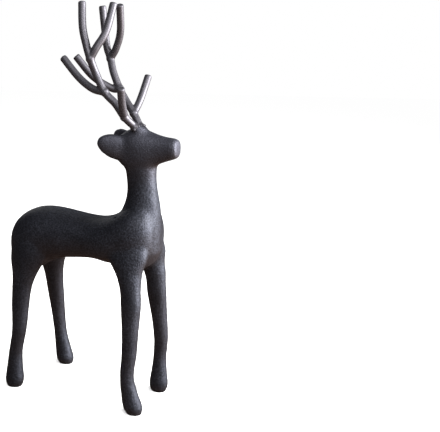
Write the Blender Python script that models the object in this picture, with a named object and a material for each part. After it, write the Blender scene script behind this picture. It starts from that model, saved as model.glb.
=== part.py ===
"""Cast iron stag, standing, with two antlers bent from round bar.

Frame: +X is where the nose points, +Y is the animal's left side, +Z is up. The origin is on
the floor, under the middle of the whole statue. Lengths are metres.

The casting is a free form, so its pose and proportions are tables in one unit, of which the
whole statue measures TABLE_HEIGHT. The bar, the weld gap and the mesh sizes are real sizes of
their own.
"""

import math

import bmesh
import bpy
from mathutils import Matrix, Vector

STATUE_HEIGHT = 0.333
TABLE_HEIGHT = 100.9
BAR_DIAMETER = 0.006
WELD_GAP = 0.0003
KNUCKLE_DIAMETER = 0.0078
BOSS_TOP_DIAMETER = 0.008
BOSS_FOOT_DIAMETER = 0.012
BOSS_LENGTH = 0.007

BAR_SIDES = 12
RING_SIDES = 32
CASTING_GRAIN = 0.0019
SOFTEN_STEPS = 12
CASTING_KEEP = 0.147

# Trunk, from the rump to the breast: where along X, top, bottom, half width.
TRUNK = (
    (-22.8, 42.9, 35.8, 3.8),
    (-22.2, 45.2, 33.8, 6.0),
    (-19.9, 47.4, 32.2, 7.6),
    (-16.5, 48.9, 32.2, 8.3),
    (-12.6, 49.2, 34.6, 8.1),
    (-8.4, 48.9, 36.0, 7.5),
    (-3.6, 48.3, 36.8, 7.1),
    (1.2, 48.0, 37.2, 7.1),
    (5.4, 48.8, 36.7, 7.7),
    (9.6, 51.0, 36.6, 8.1),
    (13.3, 52.9, 35.6, 7.8),
    (16.2, 52.3, 37.2, 6.4),
    (18.0, 48.9, 40.0, 4.1),
)

# Neck, from inside the shoulders to inside the skull: height, middle along X, half length
# along X, half width.
NECK = (
    (40.5, 13.8, 4.5, 5.7),
    (45.0, 13.8, 4.7, 5.1),
    (49.5, 13.2, 5.2, 4.5),
    (52.6, 13.6, 4.5, 3.9),
    (55.6, 13.6, 3.9, 3.4),
    (58.6, 13.3, 3.8, 3.2),
    (61.0, 13.1, 4.0, 3.3),
    (63.7, 12.4, 4.5, 3.5),
    (66.7, 12.0, 3.9, 3.3),
)

# Head, from the blunt nose back to the poll: where along X, top, bottom, half width.
HEAD = (
    (22.8, 68.2, 64.5, 1.9),
    (22.3, 68.9, 64.1, 2.3),
    (19.9, 69.2, 63.3, 2.5),
    (17.4, 69.7, 62.3, 2.9),
    (15.0, 70.5, 60.4, 3.5),
    (12.6, 71.1, 59.8, 3.9),
    (10.2, 70.8, 60.8, 3.9),
    (8.1, 69.5, 62.2, 3.3),
    (6.6, 68.0, 64.0, 2.1),
)
TRUNK_SQUARENESS = 2.3
HEAD_SQUARENESS = 2.6

# An ear is a thick paddle from its root, inside the skull, to its tip: share of the way,
# half height, half thickness.
EAR_ROOT = Vector((9.8, 2.6, 65.9))
EAR_TIP = Vector((3.7, 5.4, 68.1))
LEFT_EAR_LIFT = 0.9
LEFT_EAR_BACK = 0.8
EAR = (
    (0.0, 3.0, 1.3),
    (0.3, 3.2, 1.3),
    (0.6, 2.85, 1.1),
    (0.85, 2.0, 0.9),
    (1.0, 1.0, 0.5),
)

# Each leg's middle line, from the sole up into the body: X, Y, height.
LEGS = {
    "right_fore": ((15.1, -7.1, 0), (13.6, -7.8, 9), (14.2, -7.9, 16.5), (14.3, -7.5, 28),
                   (13.5, -6.6, 34), (12.1, -5.4, 40), (11.4, -3.4, 50)),
    "left_fore": ((15.4, 7.6, 0), (15.8, 7.7, 9), (16.3, 7.0, 16.5), (15.6, 5.4, 28),
                  (15.0, 5.2, 34), (12.6, 4.9, 40), (11.4, 3.4, 50)),
    "right_hind": ((-20.6, -8.3, 0), (-20.1, -7.9, 9), (-18.6, -8.0, 16.5), (-18.0, -7.2, 28),
                   (-16.0, -5.2, 40), (-14.4, -3.4, 50)),
    "left_hind": ((-15.8, 11.2, 0), (-16.8, 10.5, 9), (-17.1, 9.6, 16.5), (-17.0, 7.4, 28),
                  (-16.6, 5.2, 40), (-14.4, 3.4, 50)),
}
# Leg thickness: height, then half length and half width of a fore leg and of a hind leg.
LEG_SIZE = (
    (-1.5, 1.2, 1.2, 1.2, 1.2),
    (0.0, 1.8, 1.8, 1.9, 1.9),
    (0.8, 2.2, 2.2, 2.3, 2.3),
    (2.0, 2.45, 2.4, 2.5, 2.45),
    (5.0, 2.15, 2.1, 2.25, 2.15),
    (9.0, 1.85, 1.9, 1.95, 1.95),
    (12.7, 1.9, 1.9, 1.95, 1.95),
    (16.5, 2.0, 2.05, 2.05, 2.1),
    (22.0, 2.2, 2.15, 2.4, 2.25),
    (28.0, 2.65, 2.25, 2.8, 2.4),
    (32.0, 2.7, 2.45, 3.65, 2.7),
    (36.0, 3.5, 2.8, 5.2, 3.2),
    (40.0, 5.4, 3.0, 5.6, 3.4),
    (44.0, 4.8, 2.4, 4.8, 2.8),
    (48.0, 2.6, 1.2, 2.6, 1.4),
)
FETLOCK_HEIGHT = 9.0
TOE_LENGTH = 0.5

# Antler joints and tips on the animal's left side, and how far each was bent off the mirror
# line by hand: (X, Y, Z), (bend in X, Y, Z). The bend adds on the right and takes off on the
# left.
ANTLER_POINTS = {
    "foot": ((11.9, 2.3, 71.4), (0.3, 0.0, 0.2)),
    "brow": ((10.0, 3.6, 74.1), (0.5, 0.6, -0.2)),
    "beam": ((7.5, 4.1, 77.2), (0.6, 0.2, -0.2)),
    "bay": ((5.1, 4.6, 80.0), (0.3, 0.1, -0.3)),
    "rise": ((3.0, 5.2, 84.1), (0.3, 0.0, -0.1)),
    "fork": ((1.8, 6.4, 87.6), (0.6, 0.0, -0.1)),
    "brow_mid": ((10.4, 6.4, 77.5), (0.6, 0.2, -0.2)),
    "brow_tip": ((11.2, 8.8, 82.2), (0.5, -0.1, -1.3)),
    "bay_low": ((2.4, 4.4, 80.4), (-0.4, 0.2, 0.1)),
    "bay_mid": ((-1.8, 3.0, 83.2), (-0.4, 1.0, 0.0)),
    "bay_tip": ((-6.1, 1.6, 88.1), (-0.9, 1.7, -0.2)),
    "rear_low": ((0.8, 6.3, 90.5), (0.5, 0.0, 0.2)),
    "rear_mid": ((-0.1, 6.3, 94.5), (0.3, -0.2, 0.4)),
    "rear_tip": ((-0.8, 5.9, 100.7), (0.4, -0.6, 0.1)),
    "front_low": ((3.4, 6.0, 90.2), (0.5, -0.1, 0.1)),
    "front_mid": ((5.1, 4.8, 94.0), (0.5, -0.3, -0.2)),
    "front_tip": ((6.1, 2.4, 100.4), (0.4, -0.1, 0.0)),
}
BEAM = ("foot", "brow", "beam", "bay", "rise", "fork", "rear_low", "rear_mid", "rear_tip")
TINES = {
    "brow_tine": ("brow", "brow_mid", "brow_tip"),
    "bay_tine": ("bay", "bay_low", "bay_mid", "bay_tip"),
    "front_tine": ("fork", "front_low", "front_mid", "front_tip"),
}
KNUCKLES = ("brow", "bay", "fork")
RIGHT, LEFT = -1, 1

UNIT = STATUE_HEIGHT / TABLE_HEIGHT


def material(name, colour, roughness, metallic):
    mat = bpy.data.materials.new(name)
    mat.use_nodes = True
    shader = mat.node_tree.nodes["Principled BSDF"]
    shader.inputs["Base Color"].default_value = (*colour, 1.0)
    shader.inputs["Roughness"].default_value = roughness
    shader.inputs["Metallic"].default_value = metallic
    return mat


def smooth_path(points, steps):
    """A smooth curve through the points, with a number of steps between each two."""
    ends = [points[0] * 2 - points[1], *points, points[-1] * 2 - points[-2]]
    path = []
    for i in range(1, len(ends) - 2):
        p0, p1, p2, p3 = ends[i - 1:i + 3]
        for k in range(steps):
            t = k / steps
            path.append(0.5 * (2 * p1 + (p2 - p0) * t + (2 * p0 - 5 * p1 + 4 * p2 - p3) * t * t
                               + (3 * p1 - p0 - 3 * p2 + p3) * t ** 3))
    path.append(points[-1].copy())
    return path


def smooth_rows(rows, steps):
    """The same smooth curve through the rows of a table."""
    out = []
    for column in zip(*rows):
        line = smooth_path([Vector((v, 0.0, 0.0)) for v in column], steps)
        out.append([v.x for v in line])
    return list(zip(*out))


def oval(middle, across, up, squareness):
    """A ring of points: an oval that squareness over 2 pushes out at its corners."""
    ring = []
    for k in range(RING_SIDES):
        a = 2 * math.pi * k / RING_SIDES
        c, s = math.cos(a), math.sin(a)
        x = math.copysign(abs(c) ** (2 / squareness), c)
        y = math.copysign(abs(s) ** (2 / squareness), s)
        ring.append(middle + across * x + up * y)
    return ring


def skin(bm, rings):
    """A closed form through a row of rings."""
    rows = [[bm.verts.new(p * UNIT) for p in ring] for ring in rings]
    count = len(rows[0])
    faces = []
    for low, high in zip(rows, rows[1:]):
        for k in range(count):
            n = (k + 1) % count
            faces.append(bm.faces.new((low[k], low[n], high[n], high[k])))
    faces.append(bm.faces.new(rows[0][::-1]))
    faces.append(bm.faces.new(rows[-1]))
    bmesh.ops.recalc_face_normals(bm, faces=faces)


def trunk_form(bm):
    rings = []
    for x, top, bottom, half in smooth_rows(TRUNK, 3):
        middle = Vector((x, 0.0, (top + bottom) / 2))
        rings.append(oval(middle, Vector((0, half, 0)), Vector((0, 0, (top - bottom) / 2)),
                          TRUNK_SQUARENESS))
    skin(bm, rings)


def neck_form(bm):
    rings = []
    for z, x, half_length, half_width in smooth_rows(NECK, 3):
        rings.append(oval(Vector((x, 0, z)), Vector((half_length, 0, 0)),
                          Vector((0, half_width, 0)), 2.0))
    skin(bm, rings)


def head_form(bm):
    rings = []
    for x, top, bottom, half in smooth_rows(HEAD, 3):
        middle = Vector((x, 0.0, (top + bottom) / 2))
        rings.append(oval(middle, Vector((0, half, 0)), Vector((0, 0, (top - bottom) / 2)),
                          HEAD_SQUARENESS))
    skin(bm, rings)


def ear_form(bm, side):
    flip = Vector((1, side, 1))
    root, tip = EAR_ROOT * flip, EAR_TIP * flip
    if side == LEFT:
        tip += Vector((-LEFT_EAR_BACK, 0, LEFT_EAR_LIFT))
    out = (tip - root).normalized()
    thick = out.cross(Vector((0, 0, 1))).normalized()
    rings = []
    for share, half_height, half_thick in smooth_rows(EAR, 3):
        rings.append(oval(root.lerp(tip, share), thick * half_thick,
                          thick.cross(out) * half_height, 2.0))
    skin(bm, rings)


def leg_form(bm, name):
    first = 3 if name.endswith("hind") else 1
    line = smooth_path([Vector(p) for p in LEGS[name]], 8)
    rings = []
    for row in smooth_rows(LEG_SIZE, 3):
        height, half_length, half_width = row[0], row[first], row[first + 1]
        below = [p for p in line if p.z <= height] or line[:1]
        above = [p for p in line if p.z >= height] or line[-1:]
        low, high = below[-1], above[0]
        share = (height - low.z) / (high.z - low.z) if high.z > low.z else 0.0
        middle = low.lerp(high, share)
        middle.z = height
        toe = TOE_LENGTH / 2 * max(0.0, 1.0 - height / FETLOCK_HEIGHT)
        middle.x += toe
        rings.append(oval(middle, Vector((half_length + toe, 0, 0)), Vector((0, half_width, 0)), 2.0))
    skin(bm, rings)


def antler_point(name, side):
    place, bend = ANTLER_POINTS[name]
    sign = 1 if side == RIGHT else -1
    x, y, z = (p + sign * b for p, b in zip(place, bend))
    return Vector((x, side * y, z))


def boss_form(bm, side):
    """The short cone that the antler stands on, along the antler's first length."""
    foot = antler_point("foot", side) * UNIT
    axis = (antler_point("brow", side) * UNIT - foot).normalized()
    turn = axis.to_track_quat("Z", "Y").to_matrix().to_4x4()
    spare = BAR_DIAMETER / 2
    place = Matrix.Translation(foot + axis * (spare - BOSS_LENGTH) / 2) @ turn
    bmesh.ops.create_cone(bm, cap_ends=True, segments=RING_SIDES, radius1=BOSS_FOOT_DIAMETER / 2,
                          radius2=BOSS_TOP_DIAMETER / 2, depth=BOSS_LENGTH + spare, matrix=place)


def new_object(name, bm, mat, root):
    mesh = bpy.data.meshes.new(name)
    bm.to_mesh(mesh)
    bm.free()
    obj = bpy.data.objects.new(name, mesh)
    bpy.context.scene.collection.objects.link(obj)
    if mat is not None:
        mesh.materials.append(mat)
    obj.parent = root
    return obj


def as_cutter(obj):
    obj.hide_render = True
    obj.display_type = "WIRE"
    return obj


def boolean(target, other, operation):
    mod = target.modifiers.new(other.name, "BOOLEAN")
    mod.operation = operation
    mod.solver = "EXACT"
    mod.object = other


def casting(mat, root):
    bm = bmesh.new()
    trunk_form(bm)
    neck_form(bm)
    head_form(bm)
    for name in LEGS:
        leg_form(bm, name)
    for side in (RIGHT, LEFT):
        ear_form(bm, side)
        boss_form(bm, side)
    stag = new_object("stag_casting", bm, mat, root)

    fuse = stag.modifiers.new("fuse", "REMESH")
    fuse.mode = "VOXEL"
    fuse.voxel_size = CASTING_GRAIN
    soften = stag.modifiers.new("soften", "SMOOTH")
    soften.factor = 0.5
    soften.iterations = SOFTEN_STEPS
    lighten = stag.modifiers.new("lighten", "DECIMATE")
    lighten.ratio = CASTING_KEEP
    lighten.use_collapse_triangulate = True

    # The soles are ground flat on the floor.
    bm = bmesh.new()
    size = STATUE_HEIGHT
    bmesh.ops.create_cube(bm, size=size, matrix=Matrix.Translation((0, 0, -size / 2)))
    boolean(stag, as_cutter(new_object("floor_cut", bm, None, root)), "DIFFERENCE")

    # Each boss is faced off square to its bar, one weld gap below the bar's end.
    for side, name in ((RIGHT, "boss_cut_right"), (LEFT, "boss_cut_left")):
        foot = antler_point("foot", side) * UNIT
        axis = (antler_point("brow", side) * UNIT - foot).normalized()
        turn = axis.to_track_quat("Z", "Y").to_matrix().to_4x4()
        reach = BAR_DIAMETER * 3
        middle = foot + axis * (reach / 2 - WELD_GAP)
        bm = bmesh.new()
        bmesh.ops.create_cone(bm, cap_ends=True, segments=RING_SIDES, radius1=BAR_DIAMETER,
                              radius2=BAR_DIAMETER, depth=reach,
                              matrix=Matrix.Translation(middle) @ turn)
        boolean(stag, as_cutter(new_object(name, bm, None, root)), "DIFFERENCE")
    return stag


def bar(name, points, mat, root, steps=3):
    """A round bar bent through the points, its ends cut square with a small round edge."""
    path = [p * UNIT for p in smooth_path(points, steps)]
    radius = BAR_DIAMETER / 2
    edge = radius * 0.22
    start, end = (path[1] - path[0]).normalized(), (path[-1] - path[-2]).normalized()
    path.insert(1, path[0] + start * edge)
    path.insert(len(path) - 1, path[-1] - end * edge)
    radii = [radius - edge] + [radius] * (len(path) - 2) + [radius - edge]
    bm = bmesh.new()
    rows = []
    across = start.orthogonal().normalized()
    for i, place in enumerate(path):
        before, after = path[max(i - 1, 0)], path[min(i + 1, len(path) - 1)]
        along = (after - before).normalized()
        across = (across - along * across.dot(along)).normalized()
        beside = along.cross(across)
        row = []
        for k in range(BAR_SIDES):
            a = 2 * math.pi * k / BAR_SIDES
            row.append(bm.verts.new(place + (across * math.cos(a) + beside * math.sin(a)) * radii[i]))
        rows.append(row)
    for low, high in zip(rows, rows[1:]):
        for k in range(BAR_SIDES):
            n = (k + 1) % BAR_SIDES
            bm.faces.new((low[k], low[n], high[n], high[k]))
    bm.faces.new(rows[0][::-1])
    bm.faces.new(rows[-1])
    bmesh.ops.recalc_face_normals(bm, faces=bm.faces)
    return new_object(name, bm, mat, root)


def antler(side, name, mat, root):
    beam = bar(name, [antler_point(n, side) for n in BEAM], mat, root)
    for tine, names in TINES.items():
        part = bar(f"{name}_{tine}", [antler_point(n, side) for n in names], None, root)
        boolean(beam, as_cutter(part), "UNION")
    for knuckle in KNUCKLES:
        bm = bmesh.new()
        bmesh.ops.create_icosphere(bm, subdivisions=2, radius=KNUCKLE_DIAMETER / 2,
                                   matrix=Matrix.Translation(antler_point(knuckle, side) * UNIT))
        part = new_object(f"{name}_{knuckle}_knuckle", bm, None, root)
        boolean(beam, as_cutter(part), "UNION")
    return beam


def shade(obj):
    obj.data.shade_smooth()
    obj.data.set_sharp_from_angle(angle=math.radians(50))


def centre_on_floor(root, pieces):
    """Moves the root so that the origin is under the middle of the statue."""
    bpy.context.view_layer.update()
    graph = bpy.context.evaluated_depsgraph_get()
    low, high = Vector((1e9,) * 3), Vector((-1e9,) * 3)
    for obj in pieces:
        done = obj.evaluated_get(graph)
        mesh = done.to_mesh()
        for v in mesh.vertices:
            p = done.matrix_world @ v.co
            low = Vector(map(min, low, p))
            high = Vector(map(max, high, p))
        done.to_mesh_clear()
    middle = (low + high) / 2
    root.location = (-middle.x, -middle.y, -low.z)


def main():
    for obj in list(bpy.data.objects):
        bpy.data.objects.remove(obj, do_unlink=True)
    root = bpy.data.objects.new("stag", None)
    bpy.context.scene.collection.objects.link(root)
    iron = material("dark_cast_iron", (0.018, 0.019, 0.022), 0.42, 0.9)
    steel = material("dark_bar", (0.05, 0.05, 0.058), 0.36, 0.9)
    stag = casting(iron, root)
    right = antler(RIGHT, "antler_right", steel, root)
    left = antler(LEFT, "antler_left", steel, root)
    for obj in (stag, right, left):
        shade(obj)
    centre_on_floor(root, (stag, right, left))


main()
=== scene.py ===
"""The cast iron stag dressed for a picture: fine cast surface, welded bar antlers, stage."""

import math

import bmesh
import bpy
from bpy.props import FloatProperty, FloatVectorProperty, IntProperty, PointerProperty
from mathutils import Matrix, Vector, noise


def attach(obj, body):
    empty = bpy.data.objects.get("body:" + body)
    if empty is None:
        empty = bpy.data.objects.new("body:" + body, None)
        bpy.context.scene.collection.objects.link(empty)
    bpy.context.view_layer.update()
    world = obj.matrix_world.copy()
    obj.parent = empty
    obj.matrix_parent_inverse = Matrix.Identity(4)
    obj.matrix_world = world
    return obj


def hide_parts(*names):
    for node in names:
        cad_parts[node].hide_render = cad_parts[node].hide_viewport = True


bl_info = {
    "name": "Cast Iron Stag",
    "version": (1, 0, 0),
    "blender": (4, 5, 0),
    "location": "3D View > Sidebar > Stag",
    "description": "Makes the cast surface, the antlers and the stage of a cast iron stag",
    "category": "Object",
}

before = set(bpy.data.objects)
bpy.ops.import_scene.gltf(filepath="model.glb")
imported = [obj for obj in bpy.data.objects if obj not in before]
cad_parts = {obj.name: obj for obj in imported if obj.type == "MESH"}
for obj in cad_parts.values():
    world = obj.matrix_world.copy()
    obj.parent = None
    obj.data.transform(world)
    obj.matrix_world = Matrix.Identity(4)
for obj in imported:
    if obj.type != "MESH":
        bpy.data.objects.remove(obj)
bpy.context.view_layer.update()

STATUE_HEIGHT = 0.333
TABLE_HEIGHT = 100.9
UNIT = STATUE_HEIGHT / TABLE_HEIGHT
RIGHT, LEFT = -1, 1

# Trunk, from the rump to the breast: where along X, top, bottom, half width.
TRUNK = (
    (-22.8, 42.9, 35.8, 3.8),
    (-22.2, 45.2, 33.8, 6.0),
    (-19.9, 47.4, 32.2, 7.6),
    (-16.5, 48.9, 32.2, 8.3),
    (-12.6, 49.2, 34.6, 8.1),
    (-8.4, 48.9, 36.0, 7.5),
    (-3.6, 48.3, 36.8, 7.1),
    (1.2, 48.0, 37.2, 7.1),
    (5.4, 48.8, 36.7, 7.7),
    (9.6, 51.0, 36.6, 8.1),
    (13.3, 52.9, 35.6, 7.8),
    (16.2, 52.3, 37.2, 6.4),
    (18.0, 48.9, 40.0, 4.1),
)
# Neck, upwards: height, middle along X, half length along X, half width.
NECK = (
    (40.5, 13.8, 4.5, 5.7),
    (45.0, 13.8, 4.7, 5.1),
    (49.5, 13.2, 5.2, 4.5),
    (52.6, 13.6, 4.5, 3.9),
    (55.6, 13.6, 3.9, 3.4),
    (58.6, 13.3, 3.8, 3.2),
    (61.0, 13.1, 4.0, 3.3),
    (63.7, 12.4, 4.5, 3.5),
    (66.7, 12.0, 3.9, 3.3),
)
# Head, from the blunt nose back to the poll: where along X, top, bottom, half width.
HEAD = (
    (22.8, 68.2, 64.5, 1.9),
    (22.3, 68.9, 64.1, 2.3),
    (19.9, 69.2, 63.3, 2.5),
    (17.4, 69.7, 62.3, 2.9),
    (15.0, 70.5, 60.4, 3.5),
    (12.6, 71.1, 59.8, 3.9),
    (10.2, 70.8, 60.8, 3.9),
    (8.1, 69.5, 62.2, 3.3),
    (6.6, 68.0, 64.0, 2.1),
)
TRUNK_SQUARENESS = 2.3
HEAD_SQUARENESS = 2.6
# Ear: share of the way from root to tip, half height, half thickness.
EAR_ROOT = Vector((9.8, 2.6, 65.9))
EAR_TIP = Vector((3.7, 5.4, 68.1))
LEFT_EAR_LIFT = 0.9
LEFT_EAR_BACK = 0.8
EAR = (
    (0.0, 3.0, 1.3),
    (0.3, 3.2, 1.3),
    (0.6, 2.85, 1.1),
    (0.85, 2.0, 0.9),
    (1.0, 1.0, 0.5),
)
# Each leg's middle line, from the sole up into the body: X, Y, height.
LEGS = {
    "right_fore": ((15.1, -7.1, 0), (13.6, -7.8, 9), (14.2, -7.9, 16.5), (14.3, -7.5, 28),
                   (13.5, -6.6, 34), (12.1, -5.4, 40), (11.4, -3.4, 50)),
    "left_fore": ((15.4, 7.6, 0), (15.8, 7.7, 9), (16.3, 7.0, 16.5), (15.6, 5.4, 28),
                  (15.0, 5.2, 34), (12.6, 4.9, 40), (11.4, 3.4, 50)),
    "right_hind": ((-20.6, -8.3, 0), (-20.1, -7.9, 9), (-18.6, -8.0, 16.5), (-18.0, -7.2, 28),
                   (-16.0, -5.2, 40), (-14.4, -3.4, 50)),
    "left_hind": ((-15.8, 11.2, 0), (-16.8, 10.5, 9), (-17.1, 9.6, 16.5), (-17.0, 7.4, 28),
                  (-16.6, 5.2, 40), (-14.4, 3.4, 50)),
}
# Leg thickness: height, then half length and half width of a fore leg and of a hind leg.
LEG_SIZE = (
    (-1.5, 1.2, 1.2, 1.2, 1.2),
    (0.0, 1.8, 1.8, 1.9, 1.9),
    (0.8, 2.2, 2.2, 2.3, 2.3),
    (2.0, 2.45, 2.4, 2.5, 2.45),
    (5.0, 2.15, 2.1, 2.25, 2.15),
    (9.0, 1.85, 1.9, 1.95, 1.95),
    (12.7, 1.9, 1.9, 1.95, 1.95),
    (16.5, 2.0, 2.05, 2.05, 2.1),
    (22.0, 2.2, 2.15, 2.4, 2.25),
    (28.0, 2.65, 2.25, 2.8, 2.4),
    (32.0, 2.7, 2.45, 3.65, 2.7),
    (36.0, 3.5, 2.8, 5.2, 3.2),
    (40.0, 5.4, 3.0, 5.6, 3.4),
    (44.0, 4.8, 2.4, 4.8, 2.8),
    (48.0, 2.6, 1.2, 2.6, 1.4),
)
FETLOCK_HEIGHT = 9.0
TOE_LENGTH = 0.5

# Antler joints and tips on the left side, and how far hand bending moved each: it adds on the
# right and takes off on the left.
ANTLER_POINTS = {
    "foot": ((11.9, 2.3, 71.4), (0.3, 0.0, 0.2)),
    "brow": ((10.0, 3.6, 74.1), (0.5, 0.6, -0.2)),
    "beam": ((7.5, 4.1, 77.2), (0.6, 0.2, -0.2)),
    "bay": ((5.1, 4.6, 80.0), (0.3, 0.1, -0.3)),
    "rise": ((3.0, 5.2, 84.1), (0.3, 0.0, -0.1)),
    "fork": ((1.8, 6.4, 87.6), (0.6, 0.0, -0.1)),
    "brow_mid": ((10.4, 6.4, 77.5), (0.6, 0.2, -0.2)),
    "brow_tip": ((11.2, 8.8, 82.2), (0.5, -0.1, -1.3)),
    "bay_low": ((2.4, 4.4, 80.4), (-0.4, 0.2, 0.1)),
    "bay_mid": ((-1.8, 3.0, 83.2), (-0.4, 1.0, 0.0)),
    "bay_tip": ((-6.1, 1.6, 88.1), (-0.9, 1.7, -0.2)),
    "rear_low": ((0.8, 6.3, 90.5), (0.5, 0.0, 0.2)),
    "rear_mid": ((-0.1, 6.3, 94.5), (0.3, -0.2, 0.4)),
    "rear_tip": ((-0.8, 5.9, 100.7), (0.4, -0.6, 0.1)),
    "front_low": ((3.4, 6.0, 90.2), (0.5, -0.1, 0.1)),
    "front_mid": ((5.1, 4.8, 94.0), (0.5, -0.3, -0.2)),
    "front_tip": ((6.1, 2.4, 100.4), (0.4, -0.1, 0.0)),
}
BEAM = ("foot", "brow", "beam", "bay", "rise", "fork", "rear_low", "rear_mid", "rear_tip")
TINES = (
    ("brow", "brow_mid", "brow_tip"),
    ("bay", "bay_low", "bay_mid", "bay_tip"),
    ("fork", "front_low", "front_mid", "front_tip"),
)
KNUCKLES = ("brow", "bay", "fork")

# The frame's origin is under the middle of the whole box, not under the form's middle line.
FORM_SHIFT = Vector((0.0001, -0.00473, 0.0))

RING_SIDES = 48
RING_STEPS = 4
LEG_STEPS = 12
ROUND = 2.0
SOFTEN_SHARE = 0.5
SHARP_ANGLE = math.radians(50)

# Iron boss on the crown that carries an antler.
BOSS_FOOT_RADIUS = 0.006
BOSS_TOP_RADIUS = 0.0036
BOSS_LENGTH = 0.009
BOSS_SINK = 0.0035

# Antler bar: what softening takes off its radius, and the share of its radius rounded at its ends.
BAR_ALLOWANCE = 0.00012
BAR_SIDES = 24
BAR_STEPS = 8
BAR_EDGE = 0.2
BAR_SOFTEN = 7

# Bead of weld metal round an antler's foot.
BEAD_SIDES = 32
BEAD_FOOT_RADIUS = 0.0046
BEAD_TOP_RADIUS = 0.0029
BEAD_LENGTH = 0.0036
BEAD_RISE = 0.0006

# Specks of weld metal round an antler's foot: degrees round the bar, metres down it, radius.
WELD_SPECKS = (
    (0, 0.0006, 0.0011),
    (50, 0.0014, 0.0009),
    (115, 0.0004, 0.0012),
    (170, 0.0016, 0.0009),
    (230, 0.0008, 0.0011),
    (300, 0.0014, 0.0010),
)
SPECK_RING_RADIUS = 0.0042

# Relief of the cast surface: how many to the metre, and the share of the relief's height.
BROAD_WAVE, BROAD_WAVE_SHARE = 70.0, 0.5
SMALL_WAVE, SMALL_WAVE_SHARE = 240.0, 0.3
LUMP, LUMP_SHARE = 560.0, 0.55

# Flaws of the casting: two pits where the neck meets the back, and a scaly patch on the right
# hind hoof, where the lumps stand higher.
PITS = (Vector((0.0277, -0.0156, 0.1628)), Vector((0.0382, -0.0167, 0.1674)))
PIT_RADIUS = 0.0014
PIT_DEPTH = 0.0014
SCALY_HOOF = Vector((-0.0624, -0.0336, 0.0077))
SCALY_RADIUS = 0.006
SCALY_LUMPS = 3.0

# Finish of the wax over the metal, how far it changes from patch to patch, and how much painted
# reflection and painted light are mixed in.
COAT_WEIGHT = 0.06
COAT_ROUGHNESS = 0.45
PATCH_PER_METRE = 38.0
PATCH_DARKENING = 0.45
PATCH_SMOOTHER = 0.05
PATCH_ROUGHER = 0.06
# Share of the painted reflection of a brown table, mixed in on the undersides.
TABLE_REFLECTION_SHARE = 0.6
# Share of the painted light on the head, which grows lighter with height.
HEAD_LIGHT_SHARE = 0.6
IRON_FINISH = {"roughness": 0.58, "grain": 850.0, "bump_depth": 0.0006}
BAR_FINISH = {"roughness": 0.54, "grain": 1400.0, "bump_depth": 0.00008}

# Picture frame in picture units: its size, the lens, and where the camera's axis meets it.
PICTURE_WIDTH, PICTURE_HEIGHT = 440, 432
FOCAL_LENGTH = 695.3
AXIS_ACROSS, AXIS_DOWN = 94, 208.3
# Camera sensor in millimetres, and the nearest distance in metres that the camera sees.
SENSOR_WIDTH = 36.0
CLIP_START = 0.01

FLOOR_HALF_SIDE = 6.0
SKY_COLOUR = (1.0, 1.0, 1.0, 1.0)
# Soft lights: name, place, point aimed at, width and height, power. The window's power is a
# property of the stage.
WINDOW = ("Window", (0.98, 0.30, 0.40), (0.0, 0, 0.30), (0.65, 0.74))
SOFT_BOXES = (
    ("Camera side box", (0.42, -0.60, 0.66), (0.02, 0, 0.24), (0.4, 0.4), 5.5),
    ("Top box", (-0.05, -0.15, 1.0), (0, 0, 0.15), (0.8, 0.8), 1.2),
    ("Far side box", (-0.8, 0.7, 0.6), (0, 0, 0.18), (0.5, 0.6), 1.2),
)


def smooth_path(points, steps):
    """A smooth curve through the points, with a number of steps between each two."""
    ends = [points[0] * 2 - points[1], *points, points[-1] * 2 - points[-2]]
    path = []
    for i in range(1, len(ends) - 2):
        p0, p1, p2, p3 = ends[i - 1:i + 3]
        for k in range(steps):
            t = k / steps
            path.append(0.5 * (2 * p1 + (p2 - p0) * t + (2 * p0 - 5 * p1 + 4 * p2 - p3) * t * t
                               + (3 * p1 - p0 - 3 * p2 + p3) * t ** 3))
    path.append(points[-1].copy())
    return path


def smooth_rows(rows, steps=RING_STEPS):
    """The same smooth curve through the rows of a table."""
    out = []
    for column in zip(*rows):
        line = smooth_path([Vector((v, 0.0, 0.0)) for v in column], steps)
        out.append([v.x for v in line])
    return list(zip(*out))


def oval(middle, across, up, squareness=ROUND):
    """A ring of points: an oval that squareness over 2 pushes out at its corners."""
    ring = []
    for k in range(RING_SIDES):
        a = 2 * math.pi * k / RING_SIDES
        c, s = math.cos(a), math.sin(a)
        x = math.copysign(abs(c) ** (2 / squareness), c)
        y = math.copysign(abs(s) ** (2 / squareness), s)
        ring.append(middle + across * x + up * y)
    return ring


def skin(bm, rings):
    """A closed form through a row of rings, given in the tables' unit."""
    rows = [[bm.verts.new(p * UNIT) for p in ring] for ring in rings]
    count = len(rows[0])
    faces = []
    for low, high in zip(rows, rows[1:]):
        for k in range(count):
            n = (k + 1) % count
            faces.append(bm.faces.new((low[k], low[n], high[n], high[k])))
    faces.append(bm.faces.new(rows[0][::-1]))
    faces.append(bm.faces.new(rows[-1]))
    bmesh.ops.recalc_face_normals(bm, faces=faces)


def level_rings(rows, squareness):
    """Upright rings along X, for the trunk and the head."""
    rings = []
    for x, top, bottom, half in smooth_rows(rows):
        middle = Vector((x, 0.0, (top + bottom) / 2))
        rings.append(oval(middle, Vector((0, half, 0)), Vector((0, 0, (top - bottom) / 2)),
                          squareness))
    return rings


def neck_rings():
    return [oval(Vector((x, 0, z)), Vector((half_length, 0, 0)), Vector((0, half_width, 0)))
            for z, x, half_length, half_width in smooth_rows(NECK)]


def ear_rings(side):
    flip = Vector((1, side, 1))
    root, tip = EAR_ROOT * flip, EAR_TIP * flip
    if side == LEFT:
        tip += Vector((-LEFT_EAR_BACK, 0, LEFT_EAR_LIFT))
    out = (tip - root).normalized()
    thick = out.cross(Vector((0, 0, 1))).normalized()
    return [oval(root.lerp(tip, share), thick * half_thick, thick.cross(out) * half_height)
            for share, half_height, half_thick in smooth_rows(EAR)]


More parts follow.
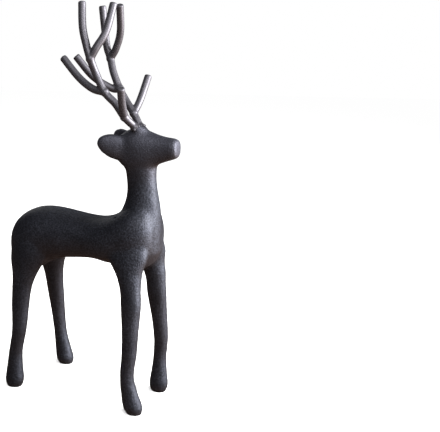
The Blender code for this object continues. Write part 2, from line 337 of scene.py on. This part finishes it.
def leg_rings(name):
    """Level rings up a leg, longer towards the toe below the fetlock."""
    first = 3 if name.endswith("hind") else 1
    line = smooth_path([Vector(p) for p in LEGS[name]], LEG_STEPS)
    rings = []
    for row in smooth_rows(LEG_SIZE):
        height, half_length, half_width = row[0], row[first], row[first + 1]
        below = [p for p in line if p.z <= height] or line[:1]
        above = [p for p in line if p.z >= height] or line[-1:]
        low, high = below[-1], above[0]
        share = (height - low.z) / (high.z - low.z) if high.z > low.z else 0.0
        middle = low.lerp(high, share)
        middle.z = height
        toe = TOE_LENGTH / 2 * max(0.0, 1.0 - height / FETLOCK_HEIGHT)
        middle.x += toe
        rings.append(oval(middle, Vector((half_length + toe, 0, 0)), Vector((0, half_width, 0))))
    return rings


def antler_point(name, side):
    place, bend = ANTLER_POINTS[name]
    sign = 1 if side == RIGHT else -1
    x, y, z = (p + sign * b for p, b in zip(place, bend))
    return Vector((x, side * y, z))


def antler_foot(side):
    """Where an antler starts, the way it goes from there, and the turn that points Z that way."""
    foot = antler_point("foot", side) * UNIT
    axis = (antler_point("brow", side) * UNIT - foot).normalized()
    return foot, axis, axis.to_track_quat("Z", "Y").to_matrix().to_4x4()


def make_object(name, bm):
    mesh = bpy.data.meshes.new(name)
    bm.to_mesh(mesh)
    bm.free()
    obj = bpy.data.objects.new(name, mesh)
    bpy.context.scene.collection.objects.link(obj)
    return obj


def fuse(obj, voxel, steps):
    """Fuses overlapping closed forms into one skin and softens where they meet."""
    remesh = obj.modifiers.new("fuse", "REMESH")
    remesh.mode = "VOXEL"
    remesh.voxel_size = voxel
    soften = obj.modifiers.new("soften", "SMOOTH")
    soften.factor = SOFTEN_SHARE
    soften.iterations = steps


def bake(obj):
    """Puts what the modifiers make into the mesh itself."""
    graph = bpy.context.evaluated_depsgraph_get()
    mesh = bpy.data.meshes.new_from_object(obj.evaluated_get(graph))
    if not mesh.vertices:
        raise RuntimeError(f"{obj.name} came out empty")
    old = obj.data
    obj.modifiers.clear()
    obj.data = mesh
    bpy.data.meshes.remove(old)
    mesh.name = obj.name


def roughen(obj, relief):
    """Low waves and small lumps of a sand casting, pushed along the normals."""
    mesh = obj.data
    normals = [n.vector.copy() for n in mesh.vertex_normals]
    places = [v.co.copy() for v in mesh.vertices]
    moved = []
    for place, normal in zip(places, normals):
        wave = (BROAD_WAVE_SHARE * noise.noise(place * BROAD_WAVE)
                + SMALL_WAVE_SHARE * noise.noise(place * SMALL_WAVE))
        lump = noise.noise(place * LUMP)
        hoof = math.exp(-((place - SCALY_HOOF).length / SCALY_RADIUS) ** 2)
        pit = sum(math.exp(-((place - p).length / PIT_RADIUS) ** 2) for p in PITS)
        height = relief * (wave + LUMP_SHARE * lump * (1.0 + SCALY_LUMPS * hoof)) - PIT_DEPTH * pit
        moved.extend(place + normal * height)
    mesh.vertices.foreach_set("co", moved)
    mesh.update()


def cut_below(obj, height):
    """Cuts the soles flat and closes them."""
    bm = bmesh.new()
    bm.from_mesh(obj.data)
    geom = bm.verts[:] + bm.edges[:] + bm.faces[:]
    cut = bmesh.ops.bisect_plane(bm, geom=geom, plane_co=(0, 0, height), plane_no=(0, 0, 1),
                                 clear_inner=True, dist=1e-6)
    rim = [e for e in cut["geom_cut"] if isinstance(e, bmesh.types.BMEdge)]
    if not rim:
        raise RuntimeError(f"{obj.name} has nothing to cut at its soles")
    bmesh.ops.edgeloop_fill(bm, edges=rim)
    bm.to_mesh(obj.data)
    bm.free()


def dress(obj, mat, node):
    """Gives a piece its material and its place in the frame."""
    obj.data.materials.clear()
    obj.data.materials.append(mat)
    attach(obj, "root")
    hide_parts(node)


def connect(tree, value, socket):
    """Links another socket, or sets a plain value."""
    if isinstance(value, bpy.types.NodeSocket):
        tree.links.new(value, socket)
    else:
        socket.default_value = value


def noise_value(tree, place, scale, detail, roughness):
    node = tree.nodes.new("ShaderNodeTexNoise")
    for label, value in (("Vector", place), ("Scale", scale), ("Detail", detail),
                         ("Roughness", roughness)):
        connect(tree, value, node.inputs[label])
    return node.outputs["Fac"]


def ramp(tree, value, low, high, out_low=0.0, out_high=1.0):
    """Takes low to out_low and high to out_high; each may be a socket or a plain value."""
    node = tree.nodes.new("ShaderNodeMapRange")
    for label, limit in (("Value", value), ("From Min", low), ("From Max", high),
                         ("To Min", out_low), ("To Max", out_high)):
        connect(tree, limit, node.inputs[label])
    return node.outputs["Result"]


def product(tree, a, b):
    node = tree.nodes.new("ShaderNodeMath")
    node.operation = "MULTIPLY"
    connect(tree, a, node.inputs[0])
    connect(tree, b, node.inputs[1])
    return node.outputs[0]


def mixed(tree, share, a, b):
    """Mixes two colours; each may be a socket or a plain value."""
    node = tree.nodes.new("ShaderNodeMix")
    node.data_type = "RGBA"
    sockets = {s.identifier: s for s in node.inputs}
    connect(tree, share, sockets["Factor_Float"])
    connect(tree, a, sockets["A_Color"])
    connect(tree, b, sockets["B_Color"])
    return next(s for s in node.outputs if s.identifier == "Result_Color")


def height_part(tree, vector):
    node = tree.nodes.new("ShaderNodeSeparateXYZ")
    tree.links.new(vector, node.inputs[0])
    return node.outputs["Z"]


def group(name, inputs, outputs):
    """An empty shader group of plain numbers, what it is given and where its results go."""
    tree = bpy.data.node_groups.new(name, "ShaderNodeTree")
    for label, value in inputs:
        socket = tree.interface.new_socket(name=label, in_out="INPUT",
                                           socket_type="NodeSocketFloat")
        socket.default_value = value
    for label in outputs:
        tree.interface.new_socket(name=label, in_out="OUTPUT", socket_type="NodeSocketFloat")
    return tree, tree.nodes.new("NodeGroupInput").outputs, tree.nodes.new("NodeGroupOutput").inputs


def cast_grain_group(name):
    """Fine pebbles of a sand casting, with patches where they are stronger."""
    tree, given, result = group(name, (("Grain per metre", 900.0), ("Patch per metre", 40.0)),
                                ("Height", "Pebble", "Patch"))
    place = tree.nodes.new("ShaderNodeTexCoord").outputs["Object"]
    pebble = noise_value(tree, place, given["Grain per metre"], 2.5, 0.6)
    blotch = noise_value(tree, place, given["Patch per metre"], 3.0, 0.55)
    patch = ramp(tree, blotch, 0.35, 0.65)
    strength = ramp(tree, patch, 0.0, 1.0, 0.55, 1.0)
    tree.links.new(product(tree, pebble, strength), result["Height"])
    tree.links.new(ramp(tree, pebble, 0.4, 0.68), result["Pebble"])
    tree.links.new(patch, result["Patch"])
    return tree


def table_reflection_group(name):
    """A mask for the painted reflection of a brown table, growing as the surface turns to look
    down.
    """
    tree, given, result = group(name, (("From", -0.75), ("To", 0.1)), ("Mask",))
    up = height_part(tree, tree.nodes.new("ShaderNodeNewGeometry").outputs["Normal"])
    tree.links.new(ramp(tree, up, given["From"], given["To"], 1.0, 0.0), result["Mask"])
    return tree


def head_light_group(name):
    """Mask for painted light on the head: rising with height, from the upper neck to the crown."""
    tree, given, result = group(name, (("From height", 0.185), ("To height", 0.225)), ("Mask",))
    height = height_part(tree, tree.nodes.new("ShaderNodeTexCoord").outputs["Object"])
    tree.links.new(ramp(tree, height, given["From height"], given["To height"]), result["Mask"])
    return tree


GROUPS = {
    "Cast grain": cast_grain_group,
    "Painted table reflection": table_reflection_group,
    "Painted head light": head_light_group,
}


def use_group(tree, name, **values):
    """Places a shared group, made the first time it is asked for, with its own values."""
    node = tree.nodes.new("ShaderNodeGroup")
    node.node_tree = bpy.data.node_groups.get(name) or GROUPS[name](name)
    for label, value in values.items():
        node.inputs[label.replace("_", " ")].default_value = value
    return node.outputs


def iron_material(sizes, name, dark, light, roughness, grain, bump_depth, painted_head_light=None):
    """Waxed iron: pebbly grain in two tones, patches, a painted reflection of a brown table on the
    underside and, if given, painted light on the head.
    """
    mat = bpy.data.materials.new(name)
    mat.use_nodes = True
    tree = mat.node_tree
    shader = tree.nodes["Principled BSDF"]
    shader.inputs["Metallic"].default_value = sizes.metalness
    shader.inputs["Coat Weight"].default_value = COAT_WEIGHT
    shader.inputs["Coat Roughness"].default_value = COAT_ROUGHNESS
    cast = use_group(tree, "Cast grain", Grain_per_metre=grain, Patch_per_metre=PATCH_PER_METRE)
    colour = mixed(tree, cast["Pebble"], (*dark, 1.0), (*light, 1.0))
    darkening = ramp(tree, cast["Patch"], 0.0, 1.0, PATCH_DARKENING, 0.0)
    colour = mixed(tree, darkening, colour, (*dark, 1.0))
    # Painted light: the head is made lighter with height, for the light that falls on it.
    if painted_head_light is not None:
        tone = mixed(tree, HEAD_LIGHT_SHARE, colour, (*painted_head_light, 1.0))
        colour = mixed(tree, use_group(tree, "Painted head light")["Mask"], colour, tone)
    # Painted reflection: a warm brown is mixed in where the surface looks down, as if it mirrored a
    # brown table.
    under = product(tree, use_group(tree, "Painted table reflection")["Mask"], TABLE_REFLECTION_SHARE)
    colour = mixed(tree, under, colour, (*sizes.iron_table_reflection, 1.0))
    tree.links.new(colour, shader.inputs["Base Color"])
    rough = ramp(tree, cast["Patch"], 0.0, 1.0, roughness - PATCH_SMOOTHER,
                 roughness + PATCH_ROUGHER)
    tree.links.new(rough, shader.inputs["Roughness"])
    bump = tree.nodes.new("ShaderNodeBump")
    bump.inputs["Strength"].default_value = 1.0
    bump.inputs["Distance"].default_value = bump_depth
    tree.links.new(cast["Height"], bump.inputs["Height"])
    tree.links.new(bump.outputs["Normal"], shader.inputs["Normal"])
    return mat


class StagSizes(bpy.types.PropertyGroup):
    """Sizes and colours of the casting and the antlers."""

    casting_mesh: FloatProperty(
        name="Casting mesh", description="Edge length of the casting's fine mesh",
        default=0.00096, min=0.0006, unit="LENGTH")
    casting_soften: IntProperty(
        name="Casting softening", description="How far meeting forms flow into each other",
        default=46, min=0)
    cast_relief: FloatProperty(
        name="Cast relief", description="Height of the waves and lumps of the cast surface",
        default=0.00018, min=0.0, unit="LENGTH")
    bar_mesh: FloatProperty(
        name="Bar mesh", description="Edge length of the antlers' fine mesh",
        default=0.00052, min=0.0003, unit="LENGTH")
    bar_diameter: FloatProperty(
        name="Bar diameter", description="Thickness of the antler bar",
        default=0.006, unit="LENGTH")
    knuckle_diameter: FloatProperty(
        name="Knuckle diameter", description="Thickness of the weld where branches meet",
        default=0.0074, unit="LENGTH")
    metalness: FloatProperty(
        name="Metalness", description="How metallic the waxed iron looks", default=0.9,
        min=0.0, max=1.0, subtype="FACTOR")
    iron_dark: FloatVectorProperty(
        name="Iron, dark", description="Colour of the iron in the hollows of its grain",
        default=(0.017, 0.018, 0.023), size=3, subtype="COLOR")
    iron_light: FloatVectorProperty(
        name="Iron, light", description="Colour of the iron on the tops of its grain",
        default=(0.052, 0.055, 0.071), size=3, subtype="COLOR")
    # Painted reflection of a brown table on the undersides.
    iron_table_reflection: FloatVectorProperty(
        name="Iron, painted table reflection", description="Painted reflection of a brown table on the iron's undersides",
        default=(0.040, 0.027, 0.023), size=3, subtype="COLOR")
    # Painted light on the head.
    iron_head_light: FloatVectorProperty(
        name="Iron, painted head light", description="Colour painted on the head for the light that falls on it",
        default=(0.074, 0.074, 0.092), size=3, subtype="COLOR")
    bar_dark: FloatVectorProperty(
        name="Bar, dark", description="Darker tone of the antler bar",
        default=(0.075, 0.072, 0.082), size=3, subtype="COLOR")
    bar_light: FloatVectorProperty(
        name="Bar, light", description="Lighter tone of the antler bar",
        default=(0.125, 0.121, 0.136), size=3, subtype="COLOR")


class STAG_OT_casting(bpy.types.Operator):
    """Makes the body, neck, head, ears and legs as one fine cast skin"""

    bl_idname = "stag.casting"
    bl_label = "Make casting"

    def execute(self, context):
        sizes = context.scene.stag_sizes
        bm = bmesh.new()
        skin(bm, level_rings(TRUNK, TRUNK_SQUARENESS))
        skin(bm, neck_rings())
        skin(bm, level_rings(HEAD, HEAD_SQUARENESS))
        for name in LEGS:
            skin(bm, leg_rings(name))
        for side in (RIGHT, LEFT):
            skin(bm, ear_rings(side))
            foot, axis, turn = antler_foot(side)
            bmesh.ops.create_cone(bm, cap_ends=True, segments=RING_SIDES, radius1=BOSS_FOOT_RADIUS,
                                  radius2=BOSS_TOP_RADIUS, depth=BOSS_LENGTH,
                                  matrix=Matrix.Translation(foot - axis * BOSS_SINK) @ turn)
        obj = make_object("cast_iron_stag", bm)
        fuse(obj, sizes.casting_mesh, sizes.casting_soften)
        bake(obj)
        roughen(obj, sizes.cast_relief)
        cut_below(obj, 0.0)
        obj.data.transform(Matrix.Translation(FORM_SHIFT))
        obj.data.shade_smooth()
        obj.data.set_sharp_from_angle(angle=SHARP_ANGLE)
        mat = iron_material(sizes, "Waxed cast iron", sizes.iron_dark, sizes.iron_light,
                            painted_head_light=sizes.iron_head_light, **IRON_FINISH)
        dress(obj, mat, "stag_casting")
        return {"FINISHED"}


def bar_form(bm, points, radius):
    """A round bar through the points, its ends cut square with a small round edge."""
    path = [p * UNIT for p in smooth_path(points, BAR_STEPS)]
    edge = radius * BAR_EDGE
    start, end = (path[1] - path[0]).normalized(), (path[-1] - path[-2]).normalized()
    path.insert(1, path[0] + start * edge)
    path.insert(len(path) - 1, path[-1] - end * edge)
    radii = [radius - edge] + [radius] * (len(path) - 2) + [radius - edge]
    turns = [2 * math.pi * k / BAR_SIDES for k in range(BAR_SIDES)]
    across = start.orthogonal().normalized()
    rings = []
    for i, place in enumerate(path):
        before, after = path[max(i - 1, 0)], path[min(i + 1, len(path) - 1)]
        along = (after - before).normalized()
        across = (across - along * across.dot(along)).normalized()
        beside = along.cross(across)
        rings.append([(place + (across * math.cos(a) + beside * math.sin(a)) * radii[i]) / UNIT
                      for a in turns])
    skin(bm, rings)


def make_antler(context, side, name, node):
    """One antler: the beam, its branches, a ball at each knuckle, and the weld at its foot."""
    sizes = context.scene.stag_sizes
    bm = bmesh.new()
    for names in (BEAM, *TINES):
        bar_form(bm, [antler_point(n, side) for n in names], sizes.bar_diameter / 2 + BAR_ALLOWANCE)
    for knuckle in KNUCKLES:
        bmesh.ops.create_icosphere(bm, subdivisions=3, radius=sizes.knuckle_diameter / 2,
                                   matrix=Matrix.Translation(antler_point(knuckle, side) * UNIT))
    foot, axis, turn = antler_foot(side)
    bmesh.ops.create_cone(bm, cap_ends=True, segments=BEAD_SIDES, radius1=BEAD_FOOT_RADIUS,
                          radius2=BEAD_TOP_RADIUS, depth=BEAD_LENGTH,
                          matrix=Matrix.Translation(foot + axis * BEAD_RISE) @ turn)
    beside = axis.orthogonal().normalized()
    for angle, down, radius in WELD_SPECKS:
        out = Matrix.Rotation(math.radians(angle), 3, axis) @ beside
        bmesh.ops.create_icosphere(
            bm, subdivisions=2, radius=radius,
            matrix=Matrix.Translation(foot + out * SPECK_RING_RADIUS - axis * down))
    obj = make_object(name, bm)
    fuse(obj, sizes.bar_mesh, BAR_SOFTEN)
    bake(obj)
    obj.data.transform(Matrix.Translation(FORM_SHIFT))
    obj.data.shade_smooth()
    mat = bpy.data.materials.get("Waxed bar") or iron_material(
        sizes, "Waxed bar", sizes.bar_dark, sizes.bar_light, **BAR_FINISH)
    dress(obj, mat, node)


class STAG_OT_antlers(bpy.types.Operator):
    """Makes the two antlers as round bar with softly welded knuckles"""

    bl_idname = "stag.antlers"
    bl_label = "Make antlers"

    def execute(self, context):
        make_antler(context, RIGHT, "antler_bar_right", "antler_right")
        make_antler(context, LEFT, "antler_bar_left", "antler_left")
        return {"FINISHED"}


class StageSizes(bpy.types.PropertyGroup):
    """The floor, the lights and the camera."""

    azimuth: FloatProperty(
        name="Camera azimuth", description="Turn of the camera from the stag's right side",
        default=math.radians(28.6), subtype="ANGLE")
    elevation: FloatProperty(
        name="Camera elevation", description="Height of the camera over the level",
        default=math.radians(11.7), subtype="ANGLE")
    distance: FloatProperty(
        name="Camera distance", description="Distance to the point aimed at",
        default=0.5905, unit="LENGTH")
    target: FloatVectorProperty(
        name="Camera target", description="Point aimed at", default=(-0.0001, -0.0047, 0.1648),
        size=3, subtype="XYZ", unit="LENGTH")
    floor_colour: FloatVectorProperty(
        name="Floor", description="Colour of the floor", default=(0.99, 0.99, 0.99), size=3,
        subtype="COLOR")
    table_colour: FloatVectorProperty(
        name="Table in the metal", description="Colour of the table that the metal mirrors",
        default=(0.10, 0.065, 0.05), size=3, subtype="COLOR")
    room_colour: FloatVectorProperty(
        name="Room in the metal", description="Colour of the room that the metal mirrors",
        default=(0.045, 0.046, 0.06), size=3, subtype="COLOR")
    window_power: FloatProperty(
        name="Window power", description="Strength of the soft window light", default=62.0,
        min=0.0, unit="POWER")


def make_camera(context, stage):
    az, el = stage.azimuth, stage.elevation
    back = Vector((math.sin(az) * math.cos(el), -math.cos(az) * math.cos(el), math.sin(el)))
    data = bpy.data.cameras.new("Camera")
    data.sensor_width = SENSOR_WIDTH
    data.sensor_fit = "HORIZONTAL"
    data.lens = SENSOR_WIDTH * FOCAL_LENGTH / PICTURE_WIDTH
    data.shift_x = (PICTURE_WIDTH / 2 - AXIS_ACROSS) / PICTURE_WIDTH
    data.shift_y = (AXIS_DOWN - PICTURE_HEIGHT / 2) / PICTURE_WIDTH
    data.clip_start = CLIP_START
    camera = bpy.data.objects.new("Camera", data)
    camera.location = Vector(stage.target) + back * stage.distance
    camera.rotation_euler = (-back).to_track_quat("-Z", "Y").to_euler()
    context.scene.collection.objects.link(camera)
    context.scene.camera = camera


def make_floor(stage):
    """A pale floor that the metal mirrors as the brown of a table."""
    bm = bmesh.new()
    bmesh.ops.create_grid(bm, x_segments=1, y_segments=1, size=FLOOR_HALF_SIDE)
    floor = make_object("floor", bm)
    mat = bpy.data.materials.new("Pale floor")
    mat.use_nodes = True
    tree = mat.node_tree
    shader = tree.nodes["Principled BSDF"]
    shader.inputs["Roughness"].default_value = 1.0
    shader.inputs["Specular IOR Level"].default_value = 0.0
    for_metal = tree.nodes.new("ShaderNodeLightPath").outputs["Is Glossy Ray"]
    colour = mixed(tree, for_metal, (*stage.floor_colour, 1.0), (*stage.table_colour, 1.0))
    tree.links.new(colour, shader.inputs["Base Color"])
    floor.data.materials.append(mat)


def make_room(context, stage):
    """White light all round, which the metal mirrors as a dim room."""
    world = bpy.data.worlds.new("Studio")
    context.scene.world = world
    world.use_nodes = True
    world.cycles.sampling_method = "NONE"
    tree = world.node_tree
    for_metal = tree.nodes.new("ShaderNodeLightPath").outputs["Is Glossy Ray"]
    room = mixed(tree, for_metal, SKY_COLOUR, (*stage.room_colour, 1.0))
    tree.links.new(room, tree.nodes["Background"].inputs["Color"])


def area_light(name, place, aim, size, power):
    data = bpy.data.lights.new(name, "AREA")
    data.shape = "RECTANGLE"
    data.size, data.size_y = size
    data.energy = power
    obj = bpy.data.objects.new(name, data)
    obj.location = place
    obj.rotation_euler = (Vector(aim) - Vector(place)).to_track_quat("-Z", "Y").to_euler()
    obj.visible_camera = False
    bpy.context.scene.collection.objects.link(obj)


class STAG_OT_stage(bpy.types.Operator):
    """Makes the camera, the pale floor and the soft lights"""

    bl_idname = "stag.stage"
    bl_label = "Make stage"

    def execute(self, context):
        stage = context.scene.stag_stage
        make_camera(context, stage)
        make_floor(stage)
        make_room(context, stage)
        context.scene.view_settings.view_transform = "Standard"
        area_light(*WINDOW, stage.window_power)
        for box in SOFT_BOXES:
            area_light(*box)
        return {"FINISHED"}


class STAG_PT_panel(bpy.types.Panel):
    """Lists the pieces that can be made"""

    bl_idname = "STAG_PT_panel"
    bl_label = "Cast Iron Stag"
    bl_space_type = "VIEW_3D"
    bl_region_type = "UI"
    bl_category = "Stag"

    def draw(self, context):
        layout = self.layout
        for name in StagSizes.__annotations__:
            layout.prop(context.scene.stag_sizes, name)
        for name in StageSizes.__annotations__:
            layout.prop(context.scene.stag_stage, name)
        for operator in ("stag.casting", "stag.antlers", "stag.stage"):
            layout.operator(operator)


CLASSES = (StagSizes, StageSizes, STAG_OT_casting, STAG_OT_antlers, STAG_OT_stage, STAG_PT_panel)


def register():
    for cls in CLASSES:
        bpy.utils.register_class(cls)
    bpy.types.Scene.stag_sizes = PointerProperty(type=StagSizes)
    bpy.types.Scene.stag_stage = PointerProperty(type=StageSizes)


def unregister():
    del bpy.types.Scene.stag_stage
    del bpy.types.Scene.stag_sizes
    for cls in reversed(CLASSES):
        bpy.utils.unregister_class(cls)


def main():
    register()
    bpy.ops.stag.stage()
    bpy.ops.stag.casting()
    bpy.ops.stag.antlers()


if __name__ == "__main__":
    main()
